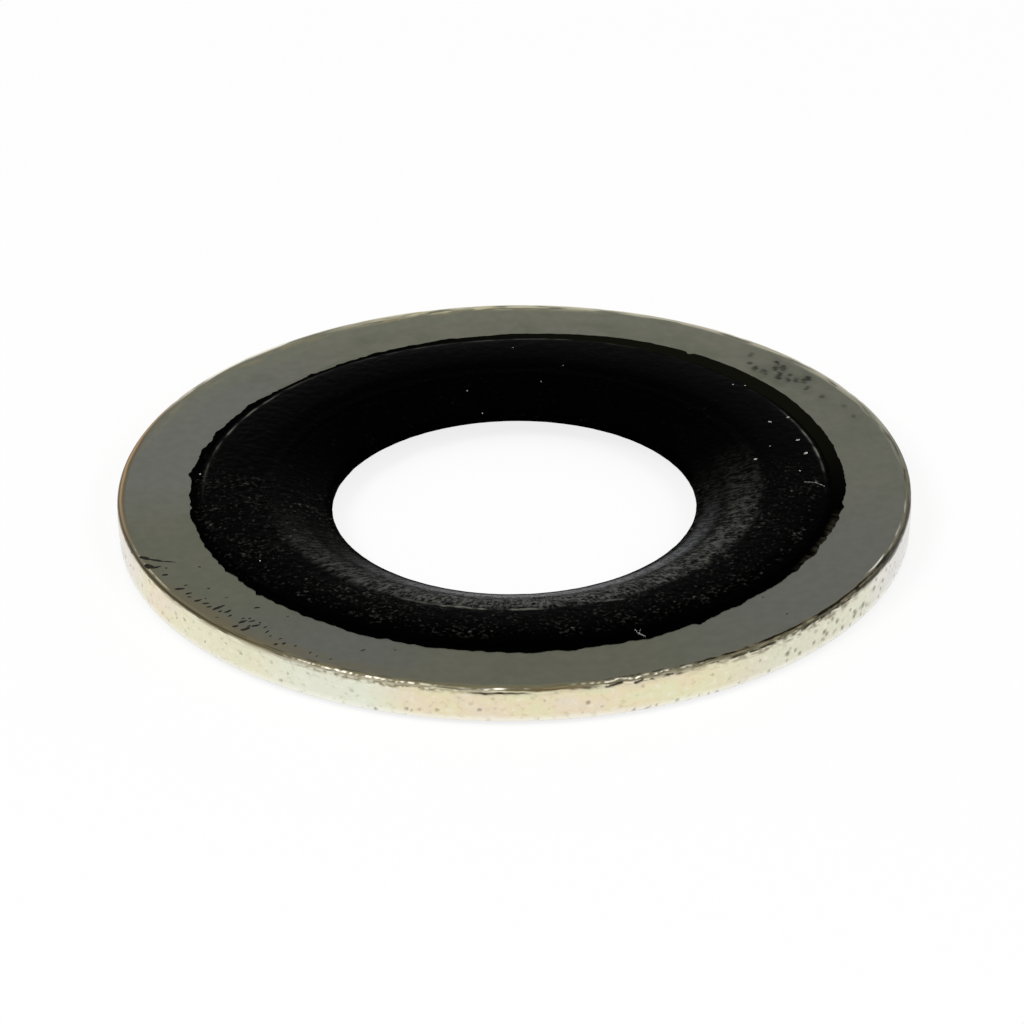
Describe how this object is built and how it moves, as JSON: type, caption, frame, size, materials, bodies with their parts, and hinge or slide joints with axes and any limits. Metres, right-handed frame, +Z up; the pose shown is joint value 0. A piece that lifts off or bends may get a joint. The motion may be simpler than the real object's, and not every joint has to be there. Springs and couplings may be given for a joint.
{
  "type": "bonded sealing washer",
  "caption": "Flat blanked steel ring with a black rubber seal bonded in its bore; the seal has a low crown on each face and a thin inner lip that centres a bolt.",
  "frame": {"origin": "on the bolt's axis, at the surface that the washer rests on with its lower rubber crown", "axes": "+Z up along the bolt's axis, out of the face with the rolled outer edge"},
  "size_m": [0.0286, 0.0286, 0.0018],
  "materials": {
    "plated_steel": "zinc plated and passivated, dull olive grey faces and a paler blanked edge",
    "seal_rubber": "moulded black nitrile, dull, with specks of dust"
  },
  "bodies": {
    "root": {"steel_ring": "plated_steel", "rubber_seal": "seal_rubber"}
  },
  "joints": []
}
